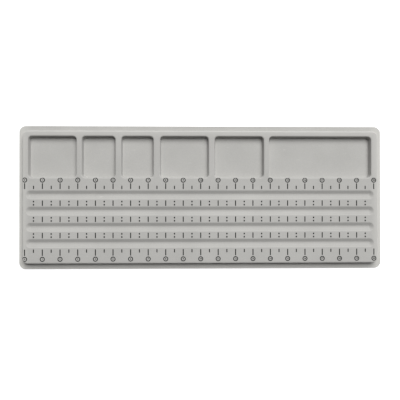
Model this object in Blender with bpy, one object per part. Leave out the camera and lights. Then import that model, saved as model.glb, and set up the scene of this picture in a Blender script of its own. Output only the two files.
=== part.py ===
"""Bead design board: one vacuum formed sheet with a flock coat on its top face.

Metres, +X along the board, +Y towards the sorting compartments, +Z up, table at z = 0.
Run with: blender --background --python part.py
"""

import math

import bmesh
import bpy
from mathutils import Matrix

MM = 0.001
TINY = 0.001 * MM

# Driving dimensions of the board.
BOARD_LENGTH = 533 * MM
BOARD_WIDTH = 209.5 * MM
BOARD_HEIGHT = 12.7 * MM
SHEET = 0.9 * MM
FLOCK = 0.4 * MM
GLUE_GAP = 0.3 * MM
THICKNESS = SHEET + GLUE_GAP + FLOCK

# The raised body and the flange that it stands on.
FLANGE_SIDES = 5.8 * MM
FLANGE_BACK = 6.2 * MM
FLANGE_FRONT = 7.0 * MM
FLANGE_CORNER = 9.5 * MM
BODY_CORNER = 6.0 * MM
BODY_INNER_BEND = 0.5 * MM
BODY_ROOT = 0.8 * MM
BODY_DRAFT = math.radians(7)

# Sorting compartments, left to right: how they share the row, and the ribs between them.
COMPARTMENT_SHARES = (72.7, 51.8, 50.2, 74.3, 75.6, 153.7)
COMPARTMENT_RIBS = (4.4 * MM, 5.0 * MM, 6.0 * MM, 5.1 * MM, 4.2 * MM)
COMPARTMENT_LEFT_MARGIN = 14.2 * MM
COMPARTMENT_RIGHT_MARGIN = 15.8 * MM
COMPARTMENT_BACK_MARGIN = 14.3 * MM
COMPARTMENT_TABLE_CLEARANCE = 0.6 * MM
COMPARTMENT_FLOOR_CORNER = 1.2 * MM
COMPARTMENT_INNER_BEND = 0.2 * MM
COMPARTMENT_FILLET = 1.2 * MM
COMPARTMENT_DRAFT = math.radians(6)

# Bead grooves, counted from the front one, and the two lands that carry the rulers.
GROOVE_COUNT = 4
GROOVE_WIDTH = 14.0 * MM
GROOVE_LAND = 9.42 * MM
GROOVE_SLOPE = math.radians(37)
GROOVE_LEFT_MARGIN = 12.2 * MM
GROOVE_RIGHT_MARGIN = 13.3 * MM
GROOVE_INNER_BEND = 0.2 * MM
GROOVE_HOLLOW = 3.5 * MM
GROOVE_FLAT = 0.6 * MM
FRONT_MARGIN = 31.0 * MM
BACK_RULER_LAND = 16.2 * MM

# Steps that each rounding is drawn in.
BODY_CORNER_STEPS = 4
COMPARTMENT_CORNER_STEPS = 3
GROOVE_OUTLINE_STEPS = 16
LIP_STEPS = 2
FILLET_STEPS = 2
GROOVE_ARC_STEPS = 3

FLOCK_GREY = (0.41, 0.41, 0.39, 1.0)
PLASTIC_GREY = (0.30, 0.30, 0.29, 1.0)


def clear_scene():
    for thing in list(bpy.data.objects):
        bpy.data.objects.remove(thing, do_unlink=True)


def material(name, colour, roughness):
    made = bpy.data.materials.new(name)
    made.use_nodes = True
    shader = made.node_tree.nodes["Principled BSDF"]
    shader.inputs["Base Color"].default_value = colour
    shader.inputs["Roughness"].default_value = roughness
    shader.inputs["Metallic"].default_value = 0.0
    return made


def rounded_rectangle(shape, left, right, front, back, height, corner, steps):
    """A flat face with rounded corners, its normal up."""
    across = right - left
    along = back - front
    made = bmesh.ops.create_grid(shape, x_segments=1, y_segments=1, size=0.5)
    corners = made["verts"]
    bmesh.ops.scale(shape, vec=(across, along, 1.0), verts=corners)
    middle = ((left + right) / 2, (front + back) / 2, height)
    bmesh.ops.translate(shape, vec=middle, verts=corners)
    before = set(shape.faces) - set(corners[0].link_faces)
    bmesh.ops.bevel(
        shape,
        geom=corners,
        offset=corner,
        offset_type="OFFSET",
        segments=steps,
        profile=0.5,
        affect="VERTICES",
        material=-1,
    )
    return next(face for face in shape.faces if face not in before)


def step_in(shape, face, inset, rise):
    """Inset a face by a width and lift or sink it, leaving a band round it."""
    bmesh.ops.inset_individual(
        shape, faces=[face], thickness=inset, depth=rise, use_even_offset=True
    )


def bend(radius, start, end, steps):
    """(inset, rise) of each chord of an arc whose slope goes from start to end."""
    chords = []
    for i in range(steps):
        a = start + (end - start) * i / steps
        b = start + (end - start) * (i + 1) / steps
        inset = radius * abs(math.sin(b) - math.sin(a))
        rise = radius * abs(math.cos(b) - math.cos(a))
        chords.append((inset, rise))
    return chords


def wall(climb, roundings, steepest):
    """(inset, rise) of the straight wall left between the roundings of a climb."""
    rise = climb - roundings * (1 - math.cos(steepest))
    return [(rise / math.tan(steepest), rise)]


def follow(shape, face, profile, direction):
    """Step a face through a whole profile, up or down."""
    for inset, rise in profile:
        step_in(shape, face, inset, rise * direction)


def run(profile):
    """How far a profile goes sideways in all."""
    return sum(inset for inset, rise in profile)


def fill_level(shape, height):
    """Fill the flat ground between the open outlines at one height."""
    outlines = []
    for edge in shape.edges:
        level = all(abs(point.co.z - height) < TINY for point in edge.verts)
        if level and len(edge.link_faces) < 2:
            outlines.append(edge)
    bmesh.ops.triangle_fill(
        shape, edges=outlines, use_beauty=True, use_dissolve=False, normal=(0, 0, 1)
    )


def raise_body(shape, skin):
    """The flange and the raised body; returns the top face."""
    flange_top = THICKNESS - skin
    steepest = math.pi / 2 - BODY_DRAFT
    climb = BOARD_HEIGHT - THICKNESS
    lip = THICKNESS + BODY_INNER_BEND
    profile = bend(BODY_ROOT + skin, 0.0, steepest, FILLET_STEPS)
    profile += wall(climb, BODY_ROOT + lip, steepest)
    profile += bend(lip - skin, steepest, 0.0, LIP_STEPS)

    half_x = BOARD_LENGTH / 2
    half_y = BOARD_WIDTH / 2
    edge = rounded_rectangle(
        shape, -half_x, half_x, -half_y, half_y, flange_top, FLANGE_CORNER, BODY_CORNER_STEPS
    )
    side = half_x - FLANGE_SIDES
    front = -half_y + FLANGE_FRONT
    back = half_y - FLANGE_BACK
    corner = BODY_CORNER + run(profile)
    foot = rounded_rectangle(shape, -side, side, front, back, flange_top, corner, BODY_CORNER_STEPS)
    bmesh.ops.delete(shape, geom=[edge], context="FACES_ONLY")
    fill_level(shape, flange_top)
    follow(shape, foot, profile, 1)
    return foot


def sink_compartment(shape, left, right, skin):
    steepest = math.pi / 2 - COMPARTMENT_DRAFT
    lip = THICKNESS + COMPARTMENT_INNER_BEND
    depth = BOARD_HEIGHT - THICKNESS - COMPARTMENT_TABLE_CLEARANCE
    profile = bend(lip - skin, 0.0, steepest, LIP_STEPS)
    profile += wall(depth, lip + COMPARTMENT_FILLET, steepest)
    profile += bend(COMPARTMENT_FILLET + skin, steepest, 0.0, FILLET_STEPS)

    chord_turn = math.pi / 4 / COMPARTMENT_CORNER_STEPS
    corner = run(profile) / math.cos(chord_turn) + COMPARTMENT_FLOOR_CORNER
    front = groove_centre(GROOVE_COUNT - 1) + GROOVE_WIDTH / 2 + BACK_RULER_LAND
    back = BOARD_WIDTH / 2 - COMPARTMENT_BACK_MARGIN
    height = BOARD_HEIGHT - skin
    face = rounded_rectangle(
        shape, left, right, front, back, height, corner, COMPARTMENT_CORNER_STEPS
    )
    follow(shape, face, profile, -1)


def compartment_spans():
    """Left and right edge of each compartment."""
    row = BOARD_LENGTH - COMPARTMENT_LEFT_MARGIN - COMPARTMENT_RIGHT_MARGIN
    unit = (row - sum(COMPARTMENT_RIBS)) / sum(COMPARTMENT_SHARES)
    spans = []
    left = COMPARTMENT_LEFT_MARGIN - BOARD_LENGTH / 2
    for share, rib in zip(COMPARTMENT_SHARES, COMPARTMENT_RIBS + (0.0,)):
        right = left + share * unit
        spans.append((left, right))
        left = right + rib
    return spans


def stadium(shape, length, width, middle, steps):
    """A flat face with round ends: a regular polygon pulled out along X."""
    turn = math.pi / steps
    made = bmesh.ops.create_circle(
        shape, cap_ends=True, segments=steps, radius=width / 2 / math.cos(turn)
    )
    points = made["verts"]
    bmesh.ops.rotate(shape, verts=points, matrix=Matrix.Rotation(turn, 3, "Z"))
    for side in (-1, 1):
        end = [point for point in points if point.co.x * side > 0]
        bmesh.ops.translate(shape, verts=end, vec=(side * (length - width) / 2, 0.0, 0.0))
    bmesh.ops.translate(shape, verts=points, vec=middle)
    return points[0].link_faces[0]


def groove_centre(i):
    front = -BOARD_WIDTH / 2 + FRONT_MARGIN
    return front + GROOVE_WIDTH / 2 + i * (GROOVE_WIDTH + GROOVE_LAND)


def sink_groove(shape, centre, skin):
    lip = THICKNESS + GROOVE_INNER_BEND
    roundings = (lip + GROOVE_HOLLOW) * math.sin(GROOVE_SLOPE)
    flank = (GROOVE_WIDTH - GROOVE_FLAT) / 2 - roundings
    profile = bend(lip - skin, 0.0, GROOVE_SLOPE, LIP_STEPS)
    profile += [(flank, flank * math.tan(GROOVE_SLOPE))]
    profile += bend(GROOVE_HOLLOW + skin, GROOVE_SLOPE, 0.0, GROOVE_ARC_STEPS)

    length = BOARD_LENGTH - GROOVE_LEFT_MARGIN - GROOVE_RIGHT_MARGIN
    middle = ((GROOVE_LEFT_MARGIN - GROOVE_RIGHT_MARGIN) / 2, centre, BOARD_HEIGHT - skin)
    face = stadium(shape, length, GROOVE_WIDTH, middle, GROOVE_OUTLINE_STEPS)
    follow(shape, face, profile, -1)


def formed_face(skin):
    """The whole top face as one open sheet, a distance skin below the flock's face."""
    shape = bmesh.new()
    top = raise_body(shape, skin)
    bmesh.ops.delete(shape, geom=[top], context="FACES_ONLY")
    for left, right in compartment_spans():
        sink_compartment(shape, left, right, skin)
    for i in range(GROOVE_COUNT):
        sink_groove(shape, groove_centre(i), skin)
    fill_level(shape, BOARD_HEIGHT - skin)
    bmesh.ops.recalc_face_normals(shape, faces=list(shape.faces))
    if max(shape.faces, key=lambda f: f.calc_area()).normal.z < 0:
        bmesh.ops.reverse_faces(shape, faces=list(shape.faces))
    return shape


def layer(name, skin, thickness, finish):
    """One layer of the board: the formed face, thickened downwards."""
    mesh = bpy.data.meshes.new(name)
    shape = formed_face(skin)
    shape.to_mesh(mesh)
    shape.free()
    mesh.shade_smooth()
    mesh.materials.append(finish)
    made = bpy.data.objects.new(name, mesh)
    bpy.context.scene.collection.objects.link(made)
    thicken = made.modifiers.new("thickness", "SOLIDIFY")
    thicken.thickness = thickness
    thicken.offset = -1.0
    thicken.use_even_offset = True
    thicken.use_quality_normals = True
    return made


def build():
    clear_scene()
    flock = material("flock", FLOCK_GREY, 0.95)
    plastic = material("polystyrene", PLASTIC_GREY, 0.45)
    layer("flock_coat", 0.0, FLOCK, flock)
    layer("tray_shell", FLOCK + GLUE_GAP, SHEET, plastic)


build()
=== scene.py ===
# %% [markdown]
# # A bead design board
#
# A jewellery maker lays a necklace out on this board before stringing it. Beads lie in four long
# grooves, a printed scale beside each groove measures the strand in inches, and six compartments
# along the back hold loose beads and findings.
#
# The real board is made in three steps. A thin polystyrene sheet is heated and sucked down on to a
# mould, its face is coated with glue and short fibres, which is called flocking, and the scales are
# screen printed on the flock. This lesson makes it in the same order: the sheet, its coat, the ink.
#
# The measured model of the board is loaded first, as a fixed frame. Everything else takes its size
# and place from it.

# %% Load the measured board
import math

import bmesh
import bpy
from mathutils import Matrix, Vector
from mathutils.bvhtree import BVHTree


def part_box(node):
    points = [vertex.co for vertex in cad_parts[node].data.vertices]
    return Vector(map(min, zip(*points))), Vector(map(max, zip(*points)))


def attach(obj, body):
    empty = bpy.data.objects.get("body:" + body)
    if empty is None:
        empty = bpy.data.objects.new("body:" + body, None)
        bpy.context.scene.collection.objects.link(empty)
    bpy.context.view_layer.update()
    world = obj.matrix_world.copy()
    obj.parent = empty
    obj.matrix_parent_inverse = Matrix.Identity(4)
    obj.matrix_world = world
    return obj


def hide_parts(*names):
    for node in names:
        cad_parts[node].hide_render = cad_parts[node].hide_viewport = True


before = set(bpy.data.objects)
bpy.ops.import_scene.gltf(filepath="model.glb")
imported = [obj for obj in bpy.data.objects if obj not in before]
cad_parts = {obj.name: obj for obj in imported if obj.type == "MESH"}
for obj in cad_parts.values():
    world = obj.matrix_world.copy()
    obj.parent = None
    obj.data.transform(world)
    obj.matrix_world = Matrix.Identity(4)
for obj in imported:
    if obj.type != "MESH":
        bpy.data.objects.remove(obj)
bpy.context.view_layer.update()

MM = 0.001

coat_low, coat_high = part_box("flock_coat")
BOARD_LENGTH = coat_high.x - coat_low.x
BOARD_WIDTH = coat_high.y - coat_low.y
BOARD_HEIGHT = coat_high.z
board_size = " x ".join(f"{size / MM:.1f}" for size in (BOARD_LENGTH, BOARD_WIDTH, BOARD_HEIGHT))
print("board:", board_size, "mm")

# %% [markdown]
# ## Two layers
#
# The sheet is 0.9 mm thick and the flock stands 0.7 mm above it, glue included. Both layers follow
# the same formed shape, so one function draws that shape as an open surface at any depth below the
# face of the flock, and each layer is that surface given a thickness. The radii change with the
# depth, as they do in a real bent sheet: a bend that is tight inside is wide outside.
#
# A hair's gap between the layers keeps their faces from lying in the same place.

# %% Thicknesses of the layers
SHEET = 0.9 * MM
FLOCK = 0.7 * MM
HAIR_GAP = 0.02 * MM
THICKNESS = SHEET + FLOCK
print(f"sheet and flock together: {THICKNESS / MM:.1f} mm")

# %% [markdown]
# ## Stepping a face through a profile
#
# Vacuum forming gives every edge a rounding and every wall a slope, because the sheet has to come
# off its mould. Such a wall could be lofted from many curves, or swept along the outline. Here it is
# stepped: one flat face is inset by a little and lifted by a little, again and again. Each step
# leaves a band of faces behind, and all the bands together are the wall.
#
# A profile is a list of such steps, as pairs of inset and rise. A bend is an arc cut into chords, and
# a wall is one long step between two bends.

# %% Profiles of bends and walls
BEND_STEPS = 7
SHADING_BAND = (0.3 * MM, 0.0)


def bend(radius, start, end, steps=BEND_STEPS):
    """Inset and rise of each chord of an arc whose slope goes from start to end."""
    chords = []
    for i in range(steps):
        a = start + (end - start) * i / steps
        b = start + (end - start) * (i + 1) / steps
        inset = radius * abs(math.sin(b) - math.sin(a))
        rise = radius * abs(math.cos(b) - math.cos(a))
        chords.append((inset, rise))
    return chords


def wall(climb, roundings, steepest):
    """The straight wall that is left between the roundings of a climb."""
    rise = climb - roundings * (1 - math.cos(steepest))
    return [(rise / math.tan(steepest), rise)]


def run(profile):
    """How far a profile goes sideways in all."""
    return sum(inset for inset, rise in profile)


def follow(shape, face, profile, direction):
    """Step a face through a profile, up (1) or down (-1)."""
    for inset, rise in profile:
        bmesh.ops.inset_individual(
            shape, faces=[face], thickness=inset, depth=rise * direction, use_even_offset=True
        )


print(f"a quarter bend of 2 mm is {BEND_STEPS} chords, {run(bend(2, 0, math.pi / 2)):.1f} mm across")

# %% [markdown]
# ## Outlines
#
# The board and its compartments are rectangles with round corners, and the grooves have round ends.
# A rectangle starts as a one-face grid whose four corner points are bevelled. A groove starts as a
# circle that is cut across the middle and pulled apart along the board.
#
# The flat ground between the outlines is filled last. Each outline is an open edge by then, so the
# fill only has to collect the open edges that lie at one height. The trimmed edge of the board is
# open as well, and a seam mark keeps it out of the fill.

# %% Outlines and flat ground
LEVEL_TOLERANCE = 0.001 * MM


def rounded_rectangle(shape, left, right, front, back, height, corner, steps):
    """A flat face with round corners, facing up."""
    before = set(shape.faces)
    points = bmesh.ops.create_grid(shape, x_segments=1, y_segments=1, size=0.5)["verts"]
    bmesh.ops.scale(shape, vec=(right - left, back - front, 1.0), verts=points)
    middle = ((left + right) / 2, (front + back) / 2, height)
    bmesh.ops.translate(shape, vec=middle, verts=points)
    bmesh.ops.bevel(
        shape,
        geom=points,
        offset=corner,
        offset_type="OFFSET",
        segments=steps,
        profile=0.5,
        affect="VERTICES",
        material=-1,
    )
    return next(face for face in shape.faces if face not in before)


def round_ended(shape, length, width, middle, steps):
    """A flat face with round ends: a circle whose halves are pulled apart."""
    turn = math.pi / steps
    points = bmesh.ops.create_circle(
        shape, cap_ends=True, segments=steps, radius=width / 2 / math.cos(turn)
    )["verts"]
    bmesh.ops.rotate(shape, verts=points, matrix=Matrix.Rotation(turn, 3, "Z"))
    for side in (-1, 1):
        half = [point for point in points if point.co.x * side > 0]
        bmesh.ops.translate(shape, verts=half, vec=(side * (length - width) / 2, 0.0, 0.0))
    bmesh.ops.translate(shape, verts=points, vec=middle)
    return points[0].link_faces[0]


def fill_ground(shape, height):
    """Fill the flat ground between the open outlines at one height."""
    outlines = []
    for edge in shape.edges:
        level = all(abs(point.co.z - height) < LEVEL_TOLERANCE for point in edge.verts)
        if level and not edge.seam and len(edge.link_faces) < 2:
            outlines.append(edge)
    bmesh.ops.triangle_fill(
        shape, edges=outlines, use_beauty=True, use_dissolve=False, normal=(0, 0, 1)
    )
    return len(outlines)


# %% [markdown]
# ## The raised body
#
# A narrow flange lies on the table all round, and the body rises from it with a small round foot, a
# steep wall and a round lip. The whole climb is one profile, so the top face ends up where the frame
# says. A narrow flat band on each side of the climb takes the change of shading, so that the big flat
# faces stay flat to the eye.

# %% Raise the body from its flange
FLANGE_SIDES = 5.8 * MM
FLANGE_BACK = 6.2 * MM
FLANGE_FRONT = 7.0 * MM
FLANGE_CORNER = 9.5 * MM
BODY_CORNER = 6.0 * MM
BODY_ROOT = 0.8 * MM
BODY_LIP = THICKNESS + 0.5 * MM
BODY_SLOPE = math.radians(83)
BODY_CORNER_STEPS = 10


def raise_body(shape, skin):
    """The flange and the body; returns the face on top."""
    ground = THICKNESS - skin
    half_x = BOARD_LENGTH / 2
    half_y = BOARD_WIDTH / 2
    trimmed = rounded_rectangle(
        shape, -half_x, half_x, -half_y, half_y, ground, FLANGE_CORNER, BODY_CORNER_STEPS
    )
    follow(shape, trimmed, [SHADING_BAND], 1)
    for edge in shape.edges:
        edge.seam = edge.is_boundary
    bmesh.ops.delete(shape, geom=[trimmed], context="FACES_ONLY")

    profile = [SHADING_BAND]
    profile += bend(BODY_ROOT + skin, 0.0, BODY_SLOPE)
    profile += wall(BOARD_HEIGHT - THICKNESS, BODY_ROOT + BODY_LIP, BODY_SLOPE)
    profile += bend(BODY_LIP - skin, BODY_SLOPE, 0.0)
    side = half_x - FLANGE_SIDES + SHADING_BAND[0]
    front = -half_y + FLANGE_FRONT - SHADING_BAND[0]
    back = half_y - FLANGE_BACK + SHADING_BAND[0]
    corner = BODY_CORNER + run(profile)
    foot = rounded_rectangle(shape, -side, side, front, back, ground, corner, BODY_CORNER_STEPS)
    bmesh.ops.delete(shape, geom=[foot], context="FACES_ONLY")
    fill_ground(shape, ground)

    body = rounded_rectangle(shape, -side, side, front, back, ground, corner, BODY_CORNER_STEPS)
    bmesh.ops.remove_doubles(shape, verts=list(shape.verts), dist=LEVEL_TOLERANCE)
    follow(shape, body, profile + [SHADING_BAND], 1)
    return body


# %% [markdown]
# ## Sorting compartments
#
# Six compartments share the back of the board, and their widths differ. Their floors stop just short
# of the table, so that the board rests on its flange. The row is laid out from left to right: each
# compartment takes its share of the length that the ribs leave free.

# %% Sink the compartments
COMPARTMENT_SHARES = (72.7, 51.8, 50.2, 74.3, 75.6, 153.7)
COMPARTMENT_RIBS = (4.4 * MM, 5.0 * MM, 6.0 * MM, 5.1 * MM, 4.2 * MM)
COMPARTMENT_LEFT_MARGIN = 14.2 * MM
COMPARTMENT_RIGHT_MARGIN = 15.8 * MM
COMPARTMENT_BACK_MARGIN = 14.3 * MM
COMPARTMENT_TABLE_CLEARANCE = 0.6 * MM
COMPARTMENT_CORNER = 7.0 * MM
COMPARTMENT_LIP = THICKNESS + 0.2 * MM
COMPARTMENT_FILLET = 1.2 * MM
COMPARTMENT_SLOPE = math.radians(84)
COMPARTMENT_CORNER_STEPS = 8


def compartment_spans():
    """Left and right edge of each compartment."""
    row = BOARD_LENGTH - COMPARTMENT_LEFT_MARGIN - COMPARTMENT_RIGHT_MARGIN
    unit = (row - sum(COMPARTMENT_RIBS)) / sum(COMPARTMENT_SHARES)
    spans = []
    left = COMPARTMENT_LEFT_MARGIN - BOARD_LENGTH / 2
    for share, rib in zip(COMPARTMENT_SHARES, COMPARTMENT_RIBS + (0.0,)):
        spans.append((left, left + share * unit))
        left += share * unit + rib
    return spans


def sink_compartment(shape, left, right, front, skin):
    """One compartment, from its lip down to its floor."""
    depth = BOARD_HEIGHT - THICKNESS - COMPARTMENT_TABLE_CLEARANCE
    profile = [SHADING_BAND]
    profile += bend(COMPARTMENT_LIP - skin, 0.0, COMPARTMENT_SLOPE)
    profile += wall(depth, COMPARTMENT_LIP + COMPARTMENT_FILLET, COMPARTMENT_SLOPE)
    profile += bend(COMPARTMENT_FILLET + skin, COMPARTMENT_SLOPE, 0.0)
    profile += [SHADING_BAND]
    margin = SHADING_BAND[0]
    face = rounded_rectangle(
        shape,
        left - margin,
        right + margin,
        front - margin,
        BOARD_WIDTH / 2 - COMPARTMENT_BACK_MARGIN + margin,
        BOARD_HEIGHT - skin,
        COMPARTMENT_CORNER + margin,
        COMPARTMENT_CORNER_STEPS,
    )
    follow(shape, face, profile, -1)


for number, (left, right) in enumerate(compartment_spans(), start=1):
    print(f"compartment {number}: {(right - left) / MM:.1f} mm wide")

# %% [markdown]
# ## Bead grooves
#
# The four grooves are shallow troughs with straight flanks and a round bottom, so that beads of any
# size roll into one line. The profile rolls over a lip, goes straight down the flank and rounds off
# at the lowest line. The flank takes whatever width the two roundings leave, so steeper flanks make
# a deeper groove of the same width.

# %% Sink the grooves
GROOVE_COUNT = 4
GROOVE_WIDTH = 14.0 * MM
GROOVE_LAND = 9.42 * MM
GROOVE_SLOPE = math.radians(37)
GROOVE_LEFT_MARGIN = 12.2 * MM
GROOVE_RIGHT_MARGIN = 13.3 * MM
GROOVE_LIP = THICKNESS + 0.2 * MM
GROOVE_HOLLOW = 3.5 * MM
GROOVE_FLAT = 0.6 * MM
GROOVE_END_STEPS = 40
GROOVE_LIP_STEPS = 5
FRONT_MARGIN = 31.0 * MM
BACK_RULER_LAND = 16.2 * MM


def groove_centre(i):
    """The middle of a groove, counted from the front one."""
    front = -BOARD_WIDTH / 2 + FRONT_MARGIN
    return front + GROOVE_WIDTH / 2 + i * (GROOVE_WIDTH + GROOVE_LAND)


def flank():
    """The straight side that is left between the lip and the hollow of a groove."""
    roundings = (GROOVE_LIP + GROOVE_HOLLOW) * math.sin(GROOVE_SLOPE)
    width = (GROOVE_WIDTH - GROOVE_FLAT) / 2 - roundings
    return [(width, width * math.tan(GROOVE_SLOPE))]


def sink_groove(shape, centre, skin):
    """One groove, from its lip down to its lowest line."""
    profile = [SHADING_BAND]
    profile += bend(GROOVE_LIP - skin, 0.0, GROOVE_SLOPE, GROOVE_LIP_STEPS)
    profile += flank()
    profile += bend(GROOVE_HOLLOW + skin, GROOVE_SLOPE, 0.0)
    margin = 2 * SHADING_BAND[0]
    length = BOARD_LENGTH - GROOVE_LEFT_MARGIN - GROOVE_RIGHT_MARGIN + margin
    width = GROOVE_WIDTH + margin
    middle = ((GROOVE_LEFT_MARGIN - GROOVE_RIGHT_MARGIN) / 2, centre, BOARD_HEIGHT - skin)
    face = round_ended(shape, length, width, middle, GROOVE_END_STEPS)
    follow(shape, face, profile, -1)


GROOVES_BACK = groove_centre(GROOVE_COUNT - 1) + GROOVE_WIDTH / 2
COMPARTMENTS_FRONT = GROOVES_BACK + BACK_RULER_LAND
print("groove centres:", [round(groove_centre(i) / MM, 2) for i in range(GROOVE_COUNT)], "mm")
groove_roundings = (GROOVE_LIP + GROOVE_HOLLOW) * (1 - math.cos(GROOVE_SLOPE))
print(f"groove depth: {(groove_roundings + flank()[0][1]) / MM:.2f} mm")

# %% [markdown]
# ## From a formed surface to two layers
#
# The Solidify modifier thickens the open surface downwards. It is applied at once, because the
# trimmed edge can only be rounded when it is there: a shallow bevel takes the knife's sharpness off.
# The bevel finds its edges by their angle, since no other edge on the board turns by half as much.

# %% Build the layers
TRIM_ANGLE = math.radians(50)
TRIM_ROUNDING = 0.15 * MM
TRIM_STEPS = 2


def formed_surface(skin):
    """The whole formed face as an open surface, a distance skin below the face of the flock."""
    shape = bmesh.new()
    top = raise_body(shape, skin)
    bmesh.ops.delete(shape, geom=[top], context="FACES_ONLY")
    for left, right in compartment_spans():
        sink_compartment(shape, left, right, COMPARTMENTS_FRONT, skin)
    for i in range(GROOVE_COUNT):
        sink_groove(shape, groove_centre(i), skin)
    fill_ground(shape, BOARD_HEIGHT - skin)
    bmesh.ops.recalc_face_normals(shape, faces=list(shape.faces))
    if max(shape.faces, key=lambda face: face.calc_area()).normal.z < 0:
        bmesh.ops.reverse_faces(shape, faces=list(shape.faces))
    return shape


def finished_object(name, shape):
    """An object at the origin that holds a finished shape, shaded smooth."""
    mesh = bpy.data.meshes.new(name)
    shape.to_mesh(mesh)
    shape.free()
    mesh.shade_smooth()
    made = bpy.data.objects.new(name, mesh)
    bpy.context.scene.collection.objects.link(made)
    return made


def evaluated_shape(thing):
    """A bmesh of an object as its modifiers or its font leave it."""
    graph = bpy.context.evaluated_depsgraph_get()
    mesh = bpy.data.meshes.new_from_object(thing.evaluated_get(graph))
    shape = bmesh.new()
    shape.from_mesh(mesh)
    bpy.data.meshes.remove(mesh)
    return shape


def layer(name, skin, thickness):
    """One layer of the board as a closed solid."""
    sheet = finished_object(name + "_surface", formed_surface(skin))
    thicken = sheet.modifiers.new("thickness", "SOLIDIFY")
    thicken.thickness = thickness
    thicken.offset = -1.0
    thicken.use_even_offset = True
    thicken.use_quality_normals = True
    shape = evaluated_shape(sheet)
    bpy.data.objects.remove(sheet, do_unlink=True)
    corners = [edge for edge in shape.edges if edge.calc_face_angle(0.0) > TRIM_ANGLE]
    bmesh.ops.bevel(
        shape,
        geom=corners,
        offset=TRIM_ROUNDING,
        offset_type="OFFSET",
        segments=TRIM_STEPS,
        profile=0.5,
        affect="EDGES",
        material=-1,
    )
    made = finished_object(name, shape)
    print(f"{name}: {len(made.data.polygons)} faces, {len(corners)} trimmed edges rounded")
    return made


flocked_face = layer("flocked_face", 0.0, FLOCK - HAIR_GAP)
moulded_sheet = layer("moulded_sheet", FLOCK, SHEET)

for piece, node, slot in (
    (flocked_face, "flock_coat", "flock"),
    (moulded_sheet, "tray_shell", "polystyrene"),
):
    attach(piece, "root")
    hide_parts(node)

# %% [markdown]
# ## Printed scales
#
# The scales are screen printed in black. The ink stands a few hundredths of a millimetre proud of the
# fibres, so each mark is modelled as a thin solid and not painted in the flock's material: it keeps a
# clean edge at any distance, and it catches the light as ink does.
#
# A dash is a rounded rectangle and a ring is a circle with its middle removed. Both are flat faces
# first, and are then given the thickness of the ink. A ring is made of three narrow bands, because the
# back row of rings runs over the rounded lips of the compartments and has to bend with them.

# %% Dashes and rings
INCH = 25.4 * MM
INK_FILM = 0.08 * MM
INK_SUNK = 0.03 * MM
DASH_WIDTH = 1.5 * MM
DASH_CORNER = 0.25 * MM
DASH_CORNER_STEPS = 2
RING_DIAMETER = 7.3 * MM
RING_STROKE = 1.3 * MM
RING_BANDS = 3
RING_STEPS = 32


def give_film(shape, faces):
    """Turn flat faces into a thin closed solid that starts just inside the flock."""
    bmesh.ops.solidify(shape, geom=faces, thickness=-INK_FILM)


def print_dash(shape, x, front, back, width=DASH_WIDTH):
    """One printed stroke along Y."""
    half = width / 2
    height = BOARD_HEIGHT - INK_SUNK
    face = rounded_rectangle(
        shape, x - half, x + half, front, back, height, DASH_CORNER, DASH_CORNER_STEPS
    )
    give_film(shape, [face])


def print_ring(shape, x, y):
    """One printed ring."""
    points = bmesh.ops.create_circle(
        shape, cap_ends=True, segments=RING_STEPS, radius=RING_DIAMETER / 2
    )["verts"]
    bmesh.ops.translate(shape, verts=points, vec=(x, y, BOARD_HEIGHT - INK_SUNK))
    middle = points[0].link_faces[0]
    band = []
    for _ in range(RING_BANDS):
        band += bmesh.ops.inset_individual(
            shape, faces=[middle], thickness=RING_STROKE / RING_BANDS, use_even_offset=True
        )["faces"]
    bmesh.ops.delete(shape, geom=[middle], context="FACES_ONLY")
    give_film(shape, band)


# %% [markdown]
# ## Numerals
#
# A numeral could be drawn by hand from arcs and strokes, but Blender's own font already has ten good
# ones. A text object is set, given the ink's thickness and turned into a mesh. Its front and sides
# don't share points yet, so the doubles are merged before the digit is moved to its ring.

# %% Numerals
NUMERAL_SIZE = 3.3 * MM
NUMERAL_BOLDNESS = 0.14 * MM
NUMERAL_CURVE_STEPS = 2


def print_numeral(shape, text, x, y):
    """One number, centred on a point."""
    curve = bpy.data.curves.new("numeral", "FONT")
    curve.body = text
    curve.size = NUMERAL_SIZE
    curve.align_x = "CENTER"
    curve.align_y = "CENTER"
    curve.resolution_u = NUMERAL_CURVE_STEPS
    curve.offset = NUMERAL_BOLDNESS
    curve.extrude = INK_FILM / 2
    setting = bpy.data.objects.new("numeral", curve)
    bpy.context.scene.collection.objects.link(setting)
    digit = evaluated_shape(setting)
    bpy.data.objects.remove(setting, do_unlink=True)
    bmesh.ops.remove_doubles(digit, verts=list(digit.verts), dist=LEVEL_TOLERANCE)
    height = BOARD_HEIGHT - INK_SUNK + INK_FILM / 2
    bmesh.ops.translate(digit, verts=list(digit.verts), vec=(x, y, height))
    mesh = bpy.data.meshes.new("numeral")
    digit.to_mesh(mesh)
    digit.free()
    shape.from_mesh(mesh)
    bpy.data.meshes.remove(mesh)


# %% [markdown]
# ## Laying the ink on the flock
#
# Each mark is drawn level and then dropped, point by point, on to the flock below it, so that a ring
# that runs over a rounded lip bends with it. A shrinkwrap modifier could do this too, but a ray cast
# straight down also keeps the thickness of the ink.
#
# Each scale is one piece, because one pull of the squeegee prints it all.

# %% Ink on the flock
def lay_on_flock(shape):
    """Drop each mark on to the flock, so that it follows the roundings that it runs over."""
    flock = bmesh.new()
    flock.from_mesh(flocked_face.data)
    ground = BVHTree.FromBMesh(flock)
    flock.free()
    start = 2 * BOARD_HEIGHT
    for point in shape.verts:
        above = Vector((point.co.x, point.co.y, start))
        hit = ground.ray_cast(above, Vector((0.0, 0.0, -1.0)))[0]
        point.co.z += hit.z - BOARD_HEIGHT


def ink_piece(name, shape):
    """Finish one scale and fix it to the board."""
    lay_on_flock(shape)
    bmesh.ops.recalc_face_normals(shape, faces=list(shape.faces))
    made = finished_object(name, shape)
    made.data.shade_flat()
    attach(made, "root")
    print(f"{name}: {len(made.data.polygons)} faces")
    return made


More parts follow.
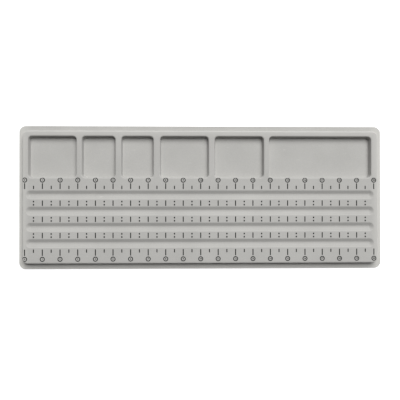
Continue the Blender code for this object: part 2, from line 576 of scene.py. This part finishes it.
# %% [markdown]
# ## Two kinds of scale
#
# Two rulers, one behind the grooves and one in front of them, number every inch in a ring and mark
# every half inch with a short stroke. Between the grooves the scale is plainer: a stroke for each
# inch, and two dots, one above the other, for each half inch. The whole print sits a millimetre to
# the left of the board's middle, as a screen print often does.

# %% Two kinds of scale
SCALE_INCHES = 20
SCALE_START = -10 * INCH - 1.3 * MM
DOT_PITCH = 4.6 * MM
DOT_LENGTH = 2.3 * MM
DOT_WIDTH = 1.9 * MM


def inch(number):
    """Where a number of inches lies along the board."""
    return SCALE_START + number * INCH


def ruler_scale(name, line, reach_long, reach_short, ring):
    """A ruler whose strokes start on a line, with numbered rings beyond them."""
    shape = bmesh.new()
    for number in range(SCALE_INCHES + 1):
        print_dash(shape, inch(number), min(line, reach_long), max(line, reach_long))
        print_ring(shape, inch(number), ring)
        print_numeral(shape, str(number), inch(number), ring)
        if number < SCALE_INCHES:
            half = inch(number + 0.5)
            print_dash(shape, half, min(line, reach_short), max(line, reach_short))
    return ink_piece(name, shape)


def groove_scale(name, front, back):
    """A plain scale on the land between two grooves."""
    shape = bmesh.new()
    middle = (front + back) / 2
    for number in range(1, SCALE_INCHES):
        print_dash(shape, inch(number), front, back)
    for number in range(SCALE_INCHES):
        for side in (-1, 1):
            dot = middle + side * DOT_PITCH / 2
            front_end = dot - DOT_LENGTH / 2
            print_dash(shape, inch(number + 0.5), front_end, dot + DOT_LENGTH / 2, DOT_WIDTH)
    return ink_piece(name, shape)


# %% [markdown]
# ## The five scales
#
# A ruler needs four places across the board: the line that its strokes start on, the far ends of the
# long and of the short strokes, and the middle of its rings. A groove scale needs only the two ends of
# its strokes.

# %% Print the five scales
BACK_RULER = (12.0 * MM, 20.4 * MM, 16.8 * MM, 25.0 * MM)
FRONT_RULER = (-75.2 * MM, -84.4 * MM, -80.0 * MM, -89.4 * MM)
LAND_SCALES = ((-12.4 * MM, -4.5 * MM), (-35.7 * MM, -27.9 * MM), (-59.1 * MM, -51.2 * MM))

scales = [
    ruler_scale("back_ruler_print", *BACK_RULER),
    ruler_scale("front_ruler_print", *FRONT_RULER),
]
for number, (front, back) in enumerate(LAND_SCALES, start=1):
    scales.append(groove_scale(f"groove_scale_print_{number}", front, back))

# %% [markdown]
# ## A helper for materials
#
# Colours are written as the hex values that a colour picker shows, and one function turns them into
# the linear values that Blender's shaders use. Another small function adds a node, sets it and links
# it, so each material below reads as a list of its nodes.

# %% Colours and nodes
SRGB_KNEE = 0.04045


def linear(hex_colour):
    """A shader colour from an sRGB hex value."""
    channels = []
    for i in (1, 3, 5):
        value = int(hex_colour[i : i + 2], 16) / 255
        low = value / 12.92
        high = ((value + 0.055) / 1.055) ** 2.4
        channels.append(low if value <= SRGB_KNEE else high)
    return (*channels, 1.0)


def per(size):
    """A texture scale whose features have a size in millimetres."""
    return 1.0 / (size * MM)


def add(tree, kind, settings, links=None):
    """Add a node; settings are properties or sockets, links are the outputs that feed it."""
    node = tree.nodes.new("ShaderNode" + kind)
    for name, value in settings.items():
        if isinstance(name, str) and hasattr(node, name):
            setattr(node, name, value)
        else:
            node.inputs[name].default_value = value
    for name, output in (links or {}).items():
        tree.links.new(output, node.inputs[name])
    return node


def new_material(name):
    """An empty material; returns it with its node tree and its output node."""
    made = bpy.data.materials.new(name)
    made.use_nodes = True
    made.node_tree.nodes.clear()
    return made, made.node_tree, add(made.node_tree, "OutputMaterial", {})


# %% [markdown]
# ## Colour of the flock
#
# Flock is rayon or nylon fibre, half a millimetre long, shot on to wet glue by an electric field so
# that it stands on end. The eye sees a soft matt grey with no gloss at all, a fine grain, and broad
# patches where the nap leans another way.
#
# The fibres are far finer than a render can show, so their grain is drawn at 1.3 mm. It shades the
# colour a little and lifts the surface as a bump. A second noise, 45 mm wide, is the leaning nap.

# %% Colour of the fibres
FLOCK_DARK = "#A3A29F"
FLOCK_PALE = "#ADACA9"
FIBRE_GRAIN = 1.3
NAP_PATCH = 45.0


def fibre_colour(tree, fibre, centred):
    """Dark and pale fibres, mixed by their grain and by the lean of the nap."""
    nap = add(
        tree,
        "TexNoise",
        {"Scale": per(NAP_PATCH), "Detail": 2.0, "Roughness": 0.5},
        {"Vector": centred.outputs["Vector"]},
    )
    grain = add(
        tree,
        "MapRange",
        {"From Min": 0.3, "From Max": 0.7, "To Min": -0.35, "To Max": 0.35},
        {"Value": fibre.outputs["Fac"]},
    )
    lean = add(
        tree,
        "MapRange",
        {"From Min": 0.3, "From Max": 0.7, "To Min": 0.25, "To Max": 0.75},
        {"Value": nap.outputs["Fac"]},
    )
    tone = add(
        tree,
        "Math",
        {"operation": "ADD", "use_clamp": True},
        {0: grain.outputs["Result"], 1: lean.outputs["Result"]},
    )
    return add(
        tree,
        "Mix",
        {"data_type": "RGBA", 6: linear(FLOCK_DARK), 7: linear(FLOCK_PALE)},
        {0: tone.outputs["Value"]},
    )


# %% [markdown]
# ## Wear and painted light on the flock
#
# Hands and beads rub the rounded edges paler. The pale edges are where the surface is both high on
# the board and turned away from level; they are partly wear and partly a painted highlight on the
# lips. The rims at the two ends and at the back are painted a little paler too: painted light that
# lifts the shade on the end flanges, and a painted highlight on the back lip. A stretched noise leaves
# a few pale scuffs.

# %% Wear and painted light of the flock
SCUFF_WIDTH = 14.0
PALE_EDGE_STARTS = 1.6 * MM
PALE_EDGE_FULL = 0.2 * MM
RIM_PALE_BAND = 18.0 * MM
END_RIM_PAINTED_LIGHT = 0.8
BACK_RIM_PAINTED_HIGHLIGHT = 0.7


def flock_wear(tree, place):
    """Paleness from wear, scuffs and painted light on lips and rims: 0 fresh, 1 palest."""
    across = add(
        tree,
        "Mapping",
        {"Rotation": (0.0, 0.0, math.radians(35)), "Scale": (1.0, 2.6, 1.0)},
        {"Vector": place.outputs["Object"]},
    )
    scuff = add(
        tree,
        "TexNoise",
        {"Scale": per(SCUFF_WIDTH), "Detail": 4.0, "Roughness": 0.6},
        {"Vector": across.outputs["Vector"]},
    )
    where = add(tree, "SeparateXYZ", {}, {"Vector": place.outputs["Object"]})
    facing = add(tree, "SeparateXYZ", {}, {"Vector": place.outputs["Normal"]})
    high = add(
        tree,
        "MapRange",
        {"From Min": BOARD_HEIGHT - PALE_EDGE_STARTS, "From Max": BOARD_HEIGHT - PALE_EDGE_FULL},
        {"Value": where.outputs["Z"]},
    )
    tilted = add(
        tree,
        "MapRange",
        {"From Min": 0.95, "From Max": 0.45, "To Max": 1.3},
        {"Value": facing.outputs["Z"]},
    )
    # Rounded edges high on the board come out paler: partly wear, partly a painted highlight on the
    # lips.
    edge_wear_and_highlight = add(
        tree,
        "Math",
        {"operation": "MULTIPLY"},
        {0: high.outputs["Result"], 1: tilted.outputs["Result"]},
    )
    scuffs = add(
        tree,
        "MapRange",
        {"From Min": 0.66, "From Max": 0.78, "To Max": 0.8},
        {"Value": scuff.outputs["Fac"]},
    )
    marks = add(
        tree,
        "Math",
        {"operation": "MAXIMUM"},
        {0: edge_wear_and_highlight.outputs["Value"], 1: scuffs.outputs["Result"]},
    )
    # The rims at the ends and the back are painted paler: painted light on the end flanges, a painted
    # highlight on the back lip.
    either_end = add(tree, "Math", {"operation": "ABSOLUTE"}, {0: where.outputs["X"]})
    painted_end_light = add(
        tree,
        "MapRange",
        {
            "From Min": BOARD_LENGTH / 2 - RIM_PALE_BAND,
            "From Max": BOARD_LENGTH / 2 - RIM_PALE_BAND / 3,
            "To Max": END_RIM_PAINTED_LIGHT,
        },
        {"Value": either_end.outputs["Value"]},
    )
    painted_back_light = add(
        tree,
        "MapRange",
        {
            "From Min": BOARD_WIDTH / 2 - RIM_PALE_BAND,
            "From Max": BOARD_WIDTH / 2 - RIM_PALE_BAND / 3,
            "To Max": BACK_RIM_PAINTED_HIGHLIGHT,
        },
        {"Value": where.outputs["Y"]},
    )
    painted_back_lip_highlight = add(
        tree,
        "Math",
        {"operation": "MULTIPLY"},
        {0: painted_back_light.outputs["Result"], 1: high.outputs["Result"]},
    )
    painted_rim_light = add(
        tree,
        "Math",
        {"operation": "MAXIMUM"},
        {0: painted_end_light.outputs["Result"], 1: painted_back_lip_highlight.outputs["Value"]},
    )
    return add(
        tree,
        "Math",
        {"operation": "MAXIMUM"},
        {0: marks.outputs["Value"], 1: painted_rim_light.outputs["Value"]},
    )


# %% [markdown]
# ## Flocked polystyrene
#
# The fresh colour and the pale one are mixed by the mask of wear and painted light. Sheen gives the
# soft rim that fibres have when they are seen from the side.

# %% Material of the flock
# Pale colour for worn flock, also used for the painted highlights on the lips and the painted light on
# the rims.
FLOCK_WORN_AND_LIT = "#BAB9B5"


def flocked_polystyrene():
    made, tree, output = new_material("flocked polystyrene")
    place = add(tree, "TexCoord", {})
    centred = add(tree, "Mapping", {}, {"Vector": place.outputs["Object"]})
    fibre = add(
        tree,
        "TexNoise",
        {"Scale": per(FIBRE_GRAIN), "Detail": 3.0, "Roughness": 0.65},
        {"Vector": centred.outputs["Vector"]},
    )
    fibres = fibre_colour(tree, fibre, centred)
    wear_and_painted_light = flock_wear(tree, place)
    colour = add(
        tree,
        "Mix",
        {"data_type": "RGBA", 7: linear(FLOCK_WORN_AND_LIT)},
        {0: wear_and_painted_light.outputs["Value"], 6: fibres.outputs[2]},
    )
    pile = add(
        tree,
        "Bump",
        {"Strength": 0.35, "Distance": 0.15 * MM},
        {"Height": fibre.outputs["Fac"]},
    )
    shader = add(
        tree,
        "BsdfPrincipled",
        {
            "Roughness": 0.95,
            "IOR": 1.5,
            "Specular IOR Level": 0.1,
            "Sheen Weight": 0.25,
            "Sheen Roughness": 0.6,
        },
        {"Base Color": colour.outputs[2], "Normal": pile.outputs["Normal"]},
    )
    tree.links.new(shader.outputs["BSDF"], output.inputs["Surface"])
    print(made.name, "has", len(tree.nodes), "nodes")
    return made


flocked_face.data.materials.append(flocked_polystyrene())

# %% [markdown]
# ## Moulded polystyrene
#
# The back of the sheet is bare high-impact polystyrene, grey right through, as it came off the vacuum
# former. It has a soft gloss, a slight orange peel where the hot sheet stretched, and faint darker
# clouds where it stretched thinner. It shows underneath and along the trimmed edge.

# %% Material of the sheet
PLASTIC_DARK = "#8B8C8A"
PLASTIC_PALE = "#979896"
STRETCH_CLOUD = 60.0
ORANGE_PEEL = 2.5
POLYSTYRENE_IOR = 1.59


def moulded_polystyrene():
    made, tree, output = new_material("vacuum formed polystyrene")
    place = add(tree, "TexCoord", {})
    centred = add(tree, "Mapping", {}, {"Vector": place.outputs["Object"]})
    cloud = add(
        tree,
        "TexNoise",
        {"Scale": per(STRETCH_CLOUD), "Detail": 3.0},
        {"Vector": centred.outputs["Vector"]},
    )
    peel = add(
        tree,
        "TexNoise",
        {"Scale": per(ORANGE_PEEL), "Detail": 2.0},
        {"Vector": centred.outputs["Vector"]},
    )
    colour = add(
        tree,
        "Mix",
        {"data_type": "RGBA", 6: linear(PLASTIC_DARK), 7: linear(PLASTIC_PALE)},
        {0: cloud.outputs["Fac"]},
    )
    gloss = add(
        tree,
        "MapRange",
        {"To Min": 0.36, "To Max": 0.5},
        {"Value": peel.outputs["Fac"]},
    )
    skin = add(
        tree,
        "Bump",
        {"Strength": 0.25, "Distance": 0.1 * MM},
        {"Height": peel.outputs["Fac"]},
    )
    shader = add(
        tree,
        "BsdfPrincipled",
        {"IOR": POLYSTYRENE_IOR},
        {
            "Base Color": colour.outputs[2],
            "Roughness": gloss.outputs["Result"],
            "Normal": skin.outputs["Normal"],
        },
    )
    tree.links.new(shader.outputs["BSDF"], output.inputs["Surface"])
    print(made.name, "has", len(tree.nodes), "nodes")
    return made


moulded_sheet.data.materials.append(moulded_polystyrene())

# %% [markdown]
# ## Screen printing ink
#
# The ink is a matt black that soaks a little way into the fibres. It isn't quite even: the tips of
# the fibres stay paler where the squeegee pressed less. A fine noise mixes the two.

# %% Material of the ink
INK_BLACK = "#101010"
INK_THIN = "#262625"
INK_SPECKLE = 0.9


def screen_printing_ink():
    made, tree, output = new_material("screen printing ink")
    place = add(tree, "TexCoord", {})
    centred = add(tree, "Mapping", {}, {"Vector": place.outputs["Object"]})
    speckle = add(
        tree,
        "TexNoise",
        {"Scale": per(INK_SPECKLE), "Detail": 2.0},
        {"Vector": centred.outputs["Vector"]},
    )
    colour = add(
        tree,
        "Mix",
        {"data_type": "RGBA", 6: linear(INK_BLACK), 7: linear(INK_THIN)},
        {0: speckle.outputs["Fac"]},
    )
    fibres = add(
        tree,
        "Bump",
        {"Strength": 0.4, "Distance": 0.1 * MM},
        {"Height": speckle.outputs["Fac"]},
    )
    shader = add(
        tree,
        "BsdfPrincipled",
        {"Roughness": 0.85, "IOR": 1.5, "Specular IOR Level": 0.25},
        {"Base Color": colour.outputs[2], "Normal": fibres.outputs["Normal"]},
    )
    tree.links.new(shader.outputs["BSDF"], output.inputs["Surface"])
    print(made.name, "has", len(tree.nodes), "nodes")
    return made


ink = screen_printing_ink()
for scale in scales:
    scale.data.materials.append(ink)

# %% [markdown]
# ## Table
#
# The board lies on a white table that glows a little, as a light table does, so that the ground stays
# white round the whole board.

# %% Table
FLOOR_SIZE = 6.0
FLOOR_WHITE = "#F0F0F0"
FLOOR_GLOW = 0.35
FLOOR_GRAIN = 3.0


def white_table():
    made, tree, output = new_material("white table")
    place = add(tree, "TexCoord", {})
    grain = add(tree, "TexNoise", {"Scale": per(FLOOR_GRAIN)}, {"Vector": place.outputs["Object"]})
    gloss = add(
        tree, "MapRange", {"To Min": 0.75, "To Max": 0.85}, {"Value": grain.outputs["Fac"]}
    )
    shader = add(
        tree,
        "BsdfPrincipled",
        {
            "Base Color": linear(FLOOR_WHITE),
            "Specular IOR Level": 0.2,
            "Emission Color": linear(FLOOR_WHITE),
            "Emission Strength": FLOOR_GLOW,
        },
        {"Roughness": gloss.outputs["Result"]},
    )
    tree.links.new(shader.outputs["BSDF"], output.inputs["Surface"])
    return made


shape = bmesh.new()
bmesh.ops.create_grid(shape, x_segments=1, y_segments=1, size=FLOOR_SIZE / 2)
floor = finished_object("floor", shape)
floor.data.materials.append(white_table())

# %% [markdown]
# ## Light
#
# A large soft box stands behind the board and rather high, so that every wall that faces the front
# lies in soft shade. A second one, far weaker, stands low behind the board and brightens the
# roundings that face it. A weak even light from all round fills the shades.

# %% Light
SOFT_BOXES = (
    ("key", 61, 20, 4.5, 3.2, 3.4, 302.0),
    ("low back light", 17, -5, 2.2, 1.6, 0.6, 2.0),
)
FILL_STRENGTH = 0.045


def soft_box(name, elevation, turn, distance, width, height, power):
    """A soft box that faces the board; its turn is measured from the back towards the right."""
    lamp = bpy.data.lights.new(name, "AREA")
    lamp.shape = "RECTANGLE"
    lamp.size = width
    lamp.size_y = height
    lamp.energy = power
    stand = bpy.data.objects.new(name, lamp)
    up = math.radians(elevation)
    round_board = math.radians(turn)
    direction = Vector(
        (math.sin(round_board) * math.cos(up), math.cos(round_board) * math.cos(up), math.sin(up))
    )
    stand.location = direction * distance
    stand.rotation_euler = direction.to_track_quat("Z", "Y").to_euler()
    bpy.context.scene.collection.objects.link(stand)


for soft_box_settings in SOFT_BOXES:
    soft_box(*soft_box_settings)

world = bpy.data.worlds.new("studio")
world.use_nodes = True
fill = world.node_tree.nodes["Background"]
fill.inputs["Color"].default_value = linear("#FFFFFF")
fill.inputs["Strength"].default_value = FILL_STRENGTH
bpy.context.scene.world = world
print(f"{len(SOFT_BOXES)} soft boxes and an even light of {FILL_STRENGTH}")

# %% [markdown]
# ## Camera
#
# The camera hangs three quarters of a metre above the board and looks almost straight down at it. Its
# small turns, in degrees, are those of a camera that is held by hand.

# %% Camera
CAMERA_PLACE = (-21.6 * MM, -8.5 * MM, 762.7 * MM)
CAMERA_TURN = (0.35, -1.473, -0.041)
CAMERA_LENS = 46.42

lens = bpy.data.cameras.new("camera")
lens.lens = CAMERA_LENS
camera = bpy.data.objects.new("camera", lens)
camera.location = CAMERA_PLACE
camera.rotation_euler = [math.radians(turn) for turn in CAMERA_TURN]
bpy.context.scene.collection.objects.link(camera)
bpy.context.scene.camera = camera
bpy.context.scene.view_settings.view_transform = "Standard"
print(f"camera {camera.location.z / MM:.0f} mm above the table")
